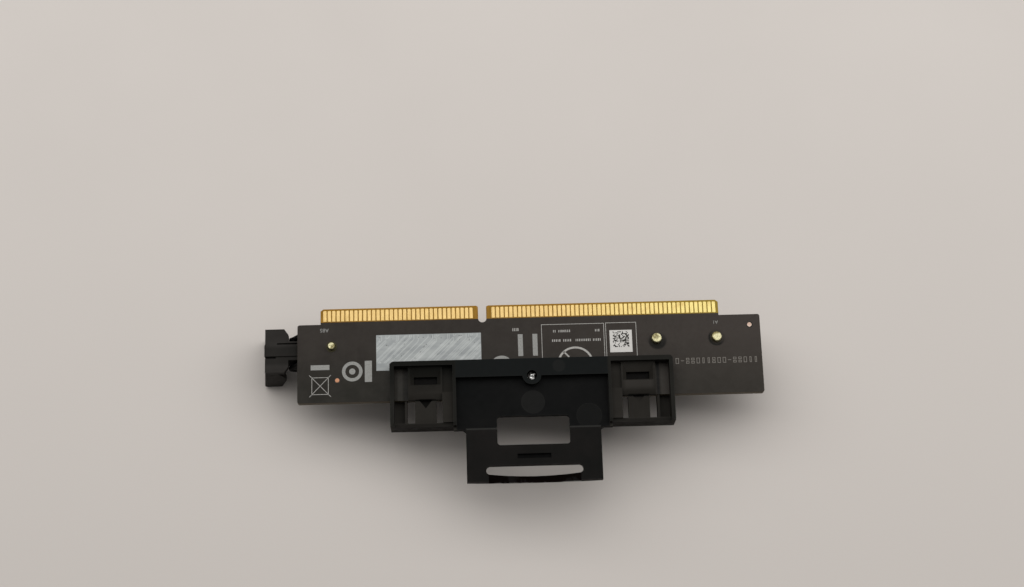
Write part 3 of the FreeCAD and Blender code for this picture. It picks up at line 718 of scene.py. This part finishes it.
def make_legend_lines(z0, z1):
    line = 0.12
    work = bmesh.new()
    # two adjoining boxes that run on under the bracket
    stroke(work, [(27.35, -13.0), (27.35, -5.0), (13.3, -5.0), (13.3, -13.0)], line, z0, z1)
    stroke(work, [(27.8, -13.0), (27.8, -4.95), (34.65, -4.95), (34.65, -13.0)], line, z0, z1)
    # in the first box, two rows of dashes and part of a ring with a bar across it
    for y, start, end, seed in ((-6.6, 15.9, 20.4, 3), (-6.6, 25.0, 26.6, 4), (-8.8, 15.6, 26.8, 5)):
        dashes(work, start, end, y, 0.28, seed, (0.14, 0.26))
    centre = (20.7, -14.4)
    band(work, ring_points(3.65, 40, centre, 15, 150), ring_points(4.1, 40, centre, 15, 150),
         z0, z1, closed=False)
    stroke(work, [(19.3, -12.7), (18.1, -11.4)], 0.35, z0, z1)
    # a plain crossed box at the left end
    frame_bars(work, -38.5, -34.7, -20.0, -16.0, line, z0, z1)
    stroke(work, [(-39.0, -20.5), (-34.2, -15.5)], line, z0, z1)
    stroke(work, [(-39.0, -15.5), (-34.2, -20.5)], line, z0, z1)
    # dashes where the connector's designator would be
    dashes(work, 6.75, 8.1, -6.0, 0.35, 8, (0.16, 0.24))
    flat_piece("legend_lines", work, "ink")


def make_legend_row(z0, z1):
    """Plain cells of a few kinds in a row along the right end."""
    work = bmesh.new()
    line, low, high = 0.13, -14.95, -13.65
    row_start, pitch, wide = 43.2, 1.18, 0.72
    split_low, split_high, dash_y = -14.4, -14.2, -14.35
    for i in range(16):
        x = row_start + pitch * i
        kind = (i * 5 + i // 3) % 6
        if kind in (0, 3):
            frame_bars(work, x, x + wide, low, high, line, z0, z1)
        elif kind in (1, 4):
            frame_bars(work, x, x + wide, low, split_low, line, z0, z1)
            frame_bars(work, x, x + wide, split_high, high, line, z0, z1)
        elif kind == 2:
            frame_bars(work, x + 0.15, x + 0.6, low, high, line, z0, z1)
        else:
            bar(work, x, x + wide, dash_y, dash_y + line, z0, z1)
    flat_piece("legend_row", work, "faint_ink")


def make_legend_solids(z0, z1):
    work = bmesh.new()
    bar(work, -38.7, -34.5, -14.3, -13.15, z0, z1)
    # a plain ring and tab, and two plain bars, where approval marks would be
    centre = (-29.4, -14.8)
    band(work, ring_points(1.55, 48, centre), ring_points(2.3, 48, centre), z0, z1)
    round_plate(work, *centre, 0.7, z0, z1, 24)
    bar(work, -26.6, -25.0, -17.3, -12.4, z0, z1)
    for x in (7.9, 11.2):
        bar(work, x, x + 1.1, -12.2, -7.1, z0, z1)
    # the top of a round mark that the bracket covers
    round_plate(work, 4.1, -14.6, 2.6, z0, z1)
    flat_piece("legend_solids", work, "grey_ink")


def make_pin_numbers():
    """Plain pin numbers at the two ends of the gold edge, upright for a reader on that side."""
    for text, x, y, size in (("A1", 52.65, -5.35, 0.8), ("A85", -35.65, -5.05, 0.9)):
        curve = bpy.data.curves.new("number_" + text, "FONT")
        curve.body = text
        curve.size = size * MM * 1.35
        curve.align_x = "CENTER"
        curve.align_y = "CENTER"
        curve.extrude = ink_height / 2 * MM
        writer = bpy.data.objects.new("writer", curve)
        bpy.context.scene.collection.objects.link(writer)
        graph = bpy.context.evaluated_depsgraph_get()
        mesh = bpy.data.meshes.new_from_object(writer.evaluated_get(graph))
        bpy.data.objects.remove(writer)
        mesh.transform(
            Matrix.Translation(Vector((x, y, board_top + ink_height / 2)) * MM)
            @ Matrix.Rotation(math.pi, 4, "Z"))
        mesh.materials.clear()
        piece("pin_number_" + text, mesh, "grey_ink")


def make_label():
    """The small square sticker, with a field of random cells that is no code."""
    low, high = node_box("data_label")
    work = bmesh.new()
    bar(work, low.x, high.x, low.y, high.y, low.z, high.z)
    made = piece("label", finished(work, "label"), "film", stands_for=["data_label"])
    round_edges(made, 0.03, 1)
    cells, filled = 17, 0.46
    side_margin, top_margin = 0.7, 0.35
    left, top = low.x + side_margin, high.y - top_margin
    size = (high.x - low.x - 2 * side_margin) / cells
    marks = bmesh.new()
    for row in range(cells):
        for column in range(cells):
            if chance.random() < filled:
                x, y = left + column * size, top - row * size
                bar(marks, x, x + size, y - size, y, high.z, high.z + 0.01)
    flat_piece("label_marks", marks, "dark_ink")


def make_fiducials():
    """Bare copper dots in small round openings of the mask."""
    rims = bmesh.new()
    rim_top, dot_top = board_top + 0.012, board_top + 0.035
    for x, y, radius, finish in ((60.35, -6.16, 0.5, "tinned"), (-32.77, -16.78, 0.48, "copper")):
        dots = bmesh.new()
        round_plate(rims, x, y, radius + 0.25, board_top, rim_top, 24)
        round_plate(dots, x, y, radius, rim_top, dot_top, 24)
        flat_piece("fiducial_" + finish, dots, finish)
    flat_piece("fiducial_rims", rims, "dark_ink")


# ---------------------------------------------------------------- gold fingers
def make_fingers(node):
    """Each finger of a node as a plated pad with rounded corners."""
    low, high = node_box(node)
    z0, z1 = (board_top, high.z) if high.z > 0 else (board_under, low.z)
    work = bmesh.new()
    corner = 0.2
    for x in finger_centres(node):
        x0, x1 = x - finger_width / 2, x + finger_width / 2
        outline = [(x0, low.y), (x1, low.y)]
        outline += ring_points(corner, 4, (x1 - corner, high.y - corner), 0, 90)
        outline += ring_points(corner, 4, (x0 + corner, high.y - corner), 90, 90)
        plate(work, outline, z0, z1)
    round_edges(piece(node + "_part", finished(work, node), "gold", stands_for=[node]), 0.03)


# ---------------------------------------------------------------- pins
def make_pin(node, ring):
    """A locating pin with a rounded, hammered tip, and the raised ring of mask round it."""
    low, high = node_box(node)
    x, y = middle(low, high)
    radius = (high.x - low.x) / 2
    work = bmesh.new()
    round_off = 0.28 * radius
    profile = [(0.0, low.z), (radius, low.z), (radius, high.z - round_off)]
    profile += [
        (radius - round_off + round_off * math.cos(math.radians(a)),
         high.z - round_off + round_off * math.sin(math.radians(a))) for a in (22.5, 45, 67.5, 90)]
    profile += [(radius * part, high.z) for part in (0.6, 0.45, 0.3, 0.15)] + [(0.0, high.z)]
    lathe(work, profile, x, y)
    deepest_dent = 0.09
    for vert in work.verts:
        if vert.co.z > high.z - 0.001:
            vert.co.z -= chance.uniform(0, deepest_dent)
    piece(node + "_part", finished(work, node), "pin", stands_for=[node])
    rim = bmesh.new()
    hole = radius + 0.08
    band(rim, ring_points(hole, 48, (x, y)), ring_points(ring, 48, (x, y)),
         board_top, board_top + 0.024)
    flat_piece(node + "_ring", rim, "mask")


# ---------------------------------------------------------------- card slot
def make_contacts(node):
    """Each contact as a formed strip: foot, bend, leaning leaf and a flared end."""
    low, high = node_box(node)
    face = 1 if high.y > slot_y + 0.5 else -1
    foot = abs((high.y if face > 0 else low.y) - slot_y)
    touch = abs((low.y if face > 0 else high.y) - slot_y)
    width, pitch, gauge, stem = 0.42, 1.0, 0.2, 2.6
    count = round((high.x - low.x - width) / pitch) + 1
    height = board_under - low.z
    # (distance from the slot's middle, depth below the board)
    path = [
        (foot, gauge / 2), (stem + 0.1, gauge / 2), (stem - 0.08, gauge * 0.8),
        (stem - 0.16, gauge * 1.8), (stem - 0.35, 1.2), (1.5, height * 0.6),
        (touch + 0.22, height * 0.84), (touch + 0.1, height * 0.92), (touch + 0.16, height * 0.97),
        (touch + 0.36, height)]
    work = bmesh.new()
    for i in range(count):
        x = low.x + i * pitch + width / 2
        rows = []
        for k, (u, h) in enumerate(path):
            a = Vector(path[max(0, k - 1)])
            b = Vector(path[min(len(path) - 1, k + 1)])
            along = (b - a).normalized()
            across = Vector((-along.y, along.x)) * gauge / 2
            half = width / 2 * (0.7 if k == len(path) - 1 else 1)
            row = []
            for side, out in ((-1, -1), (1, -1), (1, 1), (-1, 1)):
                away, deep = u + across.x * out, h + across.y * out
                row.append(work.verts.new((
                    x + side * half, slot_y + face * max(away, touch),
                    board_under - min(max(deep, 0.0), height))))
            rows.append(row)
        for a, b in zip(rows, rows[1:]):
            for k in range(4):
                work.faces.new((a[k], a[(k + 1) % 4], b[(k + 1) % 4], b[k]))
        work.faces.new(rows[0])
        work.faces.new(rows[-1][::-1])
    made = piece(node + "_part", finished(work, node), "contact", stands_for=[node])
    round_edges(made, 0.02, 1)
    # pads under the feet, with a cone of solder at each toe
    joints = bmesh.new()
    pad_half, pad_out, pad_in, pad_height = 0.3, 0.25, 1.2, 0.03
    cone = [(0.0, 0.02), (0.27, 0.02), (0.22, 0.08), (0.1, 0.15), (0.0, 0.17)]
    toe = slot_y + face * foot
    y0, y1 = sorted((toe + face * pad_out, toe - face * pad_in))
    for i in range(count):
        x = low.x + i * pitch + width / 2
        bar(joints, x - pad_half, x + pad_half, y0, y1, board_under, board_under - pad_height)
        lathe(joints, [(radius, board_under - deep) for radius, deep in cone], x, toe, 8)
    piece(node + "_solder", finished(joints, node + "_solder"), "solder")


# ---------------------------------------------------------------- screw
def make_screw():
    """Pan head with a cross recess, and a threaded shank up to its tip."""
    low, high = node_box("bracket_screw")
    x, y = middle(low, high)
    work = cad_copy("bracket_screw")
    shank = [v for v in work.verts if v.co.z > board_under + 0.01]
    bmesh.ops.delete(work, geom=shank, context="VERTS")
    bmesh.ops.holes_fill(work, edges=[e for e in work.edges if e.is_boundary])
    crest, root, pitch, sides, steps = 1.08, 0.86, 0.45, 32, 4
    start, end = board_under - 0.02, high.z
    stop = end - 0.3
    levels = int((stop - start) / (pitch / steps))
    rows = []
    for k in range(levels + 1):
        height = start + (stop - start) * k / levels
        taper = min(1.0, (end - height) / 0.5 + 0.35)
        row = []
        for i in range(sides):
            phase = ((height - start) / pitch - i / sides) % 1.0
            reach = root + (crest - root) * (1 - abs(phase * 2 - 1)) * taper
            reach = min(reach, 0.72 + (end - height) * 0.6)
            angle = math.tau * i / sides
            row.append(work.verts.new(
                (x + reach * math.cos(angle), y + reach * math.sin(angle), height)))
        rows.append(row)
    for a, b in zip(rows, rows[1:]):
        for i in range(sides):
            j = (i + 1) % sides
            work.faces.new((a[i], a[j], b[j], b[i]))
    work.faces.new(rows[0][::-1])
    work.faces.new(rows[-1])
    made = piece("bracket_screw_part", finished(work, "bracket_screw"), "steel",
                 stands_for=["bracket_screw"])
    round_edges(made, 0.05, 2, 40)
    # the broken end is rough, so only parts of it catch the light; its finish adds painted shade and a
    # painted glint
    tip = bmesh.new()
    corners, roughness = 11, 0.3
    rings = []
    for reach in (0.9, 0.6, 0.3):
        rings.append([
            tip.verts.new((px, py, end - chance.uniform(0, roughness)))
            for px, py in ring_points(reach, corners, (x, y), 17 * reach)])
    centre = tip.verts.new((x + 0.06, y - 0.04, end - 0.12))
    foot = [tip.verts.new((v.co.x, v.co.y, stop - 0.04)) for v in rings[0]]
    for a, b in zip([foot] + rings, rings):
        for i in range(corners):
            j = (i + 1) % corners
            tip.faces.new((a[i], a[j], b[j]))
            tip.faces.new((a[i], b[j], b[i]))
    for i in range(corners):
        tip.faces.new((rings[-1][i], rings[-1][(i + 1) % corners], centre))
    tip.faces.new(foot[::-1])
    flat_piece("bracket_screw_tip", tip, "broken")


# ---------------------------------------------------------------- chips
def make_chips(node, count, body_finish):
    """Chip parts on the hidden face: a body between two tinned ends, and their solder."""
    low, high = node_box(node)
    length, height = high.y - low.y, high.z - low.z
    gap = 1.2
    width = (high.x - low.x - gap * (count - 1)) / count
    cap = length * 0.18
    # a pad reaches past each end, and a fillet of solder climbs from it
    pad_reach, pad_height, side, climb = 0.3, 0.03, 0.05, height * 0.45
    pad_z, climb_z = board_under - pad_height, board_under - climb
    bodies, ends = bmesh.new(), bmesh.new()
    for i in range(count):
        x0 = low.x + i * (width + gap)
        x1 = x0 + width
        bar(bodies, x0 + 0.02, x1 - 0.02, low.y + cap, high.y - cap, low.z + 0.02, high.z)
        bar(ends, x0, x1, low.y, low.y + cap, low.z, high.z)
        bar(ends, x0, x1, high.y - cap, high.y, low.z, high.z)
        for y, out in ((low.y, -1), (high.y, 1)):
            toe, heel = y + out * pad_reach, y - out * cap
            plate(ends, [
                (x0 - side, toe), (x1 + side, toe), (x1 + side, heel), (x0 - side, heel)],
                pad_z, board_under)
            left, right, tip = x0 + side, x1 - side, toe - out * 0.04
            a, b, c, d, e, f = [ends.verts.new(point) for point in (
                (left, y, board_under), (right, y, board_under), (right, y, climb_z),
                (left, y, climb_z), (left, tip, pad_z), (right, tip, pad_z))]
            for corners in ((a, b, c, d), (d, c, f, e), (a, e, f, b), (a, d, e), (b, f, c)):
                ends.faces.new(corners)
    body = piece(node + "_part", finished(bodies, node), body_finish, stands_for=[node])
    round_edges(body, 0.05)
    round_edges(piece(node + "_ends", finished(ends, node + "_ends"), "solder"), 0.04)


# ---------------------------------------------------------------- bracket
def make_bracket():
    dressed("bracket", "bracket", 0.12, segments=3)
    # the mark on the raised band is drawn by its finish alone: here it would leave the CAD box
    panel_edge, panel_z = -17, board_top + 1.2
    work = bmesh.new()
    for x, y, radius, _ in ejector_marks:
        if y < panel_edge:
            lathe(work, [
                (0.0, panel_z - 0.05), (radius, panel_z - 0.05), (radius, panel_z + 0.004),
                (radius - 0.08, panel_z + 0.01), (0.0, panel_z + 0.01)], x, y, 48)
    flat_piece("ejector_marks", work, "bracket")


# ---------------------------------------------------------------- floor, light, camera
def make_floor():
    work = bmesh.new()
    reach, gap = 1500.0, 0.02
    corners = [(-reach, -reach), (reach, -reach), (reach, reach), (-reach, reach)]
    work.faces.new([work.verts.new((x, y, mouth_z - gap)) for x, y in corners])
    mesh = finished(work, "floor", False)
    floor = bpy.data.objects.new("floor", mesh)
    bpy.context.scene.collection.objects.link(floor)
    made = Finish("floor_paper")
    paper = made.blend(
        made.remap(made.noise(0.02, 3), 0.3, 0.7), srgb(202, 196, 191), srgb(205, 199, 194))
    # painted shade: the paper darkens towards the handle's side, away from the softbox
    made.colour(made.blend(made.remap(made.axis(1), 70, -60), paper, srgb(196, 190, 185)))
    made.rough(0.75)
    made.relief((made.noise(2.0, 4), 0.01))
    mesh.materials.append(made.material)


def make_light():
    """A dim room and one wide softbox beyond the gold edge; its place is in metres."""
    world = bpy.context.scene.world or bpy.data.worlds.new("world")
    bpy.context.scene.world = world
    world.use_nodes = True
    background = world.node_tree.nodes["Background"]
    background.inputs["Color"].default_value = (1.0, 0.985, 0.965, 1.0)
    background.inputs["Strength"].default_value = 0.2
    lamp = bpy.data.lights.new("key", "AREA")
    lamp.shape = "RECTANGLE"
    lamp.size, lamp.size_y = 3.8, 0.9
    lamp.energy = 23.7
    lamp.color = (1.0, 0.99, 0.975)
    made = bpy.data.objects.new("key", lamp)
    bpy.context.scene.collection.objects.link(made)
    made.location = (0.08, 0.39, 0.90)
    aim = Vector((0.01, -0.01, 0)) - Vector((0.08, 0.39, 0.90))
    made.rotation_euler = aim.to_track_quat("-Z", "Y").to_euler()


def make_camera():
    """Looks down on the upper face from the handle's side."""
    data = bpy.data.cameras.new("camera")
    data.lens = 68.45
    data.sensor_width = 36.0
    data.clip_start = 0.01
    camera = bpy.data.objects.new("camera", data)
    bpy.context.scene.collection.objects.link(camera)
    camera.location = Vector((-1.698, -129.824, 422.321)) * MM
    camera.rotation_euler = [math.radians(a) for a in (17.460, -0.637, -1.691)]
    bpy.context.scene.camera = camera


bpy.context.scene.view_settings.view_transform = "Standard"
make_camera()
make_floor()
make_light()
make_board()
make_traces()
make_silver_block()
for make_print in (make_legend_lines, make_legend_row, make_legend_solids):
    make_print(board_top, board_top + ink_height)
make_pin_numbers()
make_label()
make_fiducials()
for name in ("fingers_a_long", "fingers_a_short", "fingers_b_long", "fingers_b_short"):
    make_fingers(name)
for name, ring in (("pin_key", 2.0), ("pin_front", 1.9), ("pin_end", 1.2)):
    make_pin(name, ring)
dressed("slot_housing", "slot", 0.06)
for name in ("contacts_a_long", "contacts_a_short", "contacts_b_long", "contacts_b_short"):
    make_contacts(name)
dressed("slot_latch", "latch", 0.08, "latch")
make_bracket()
make_screw()
make_chips("capacitors_12v", 3, "ceramic")
make_chips("capacitors_3v3", 5, "ceramic")
make_chips("sense_resistors", 2, "resistor")
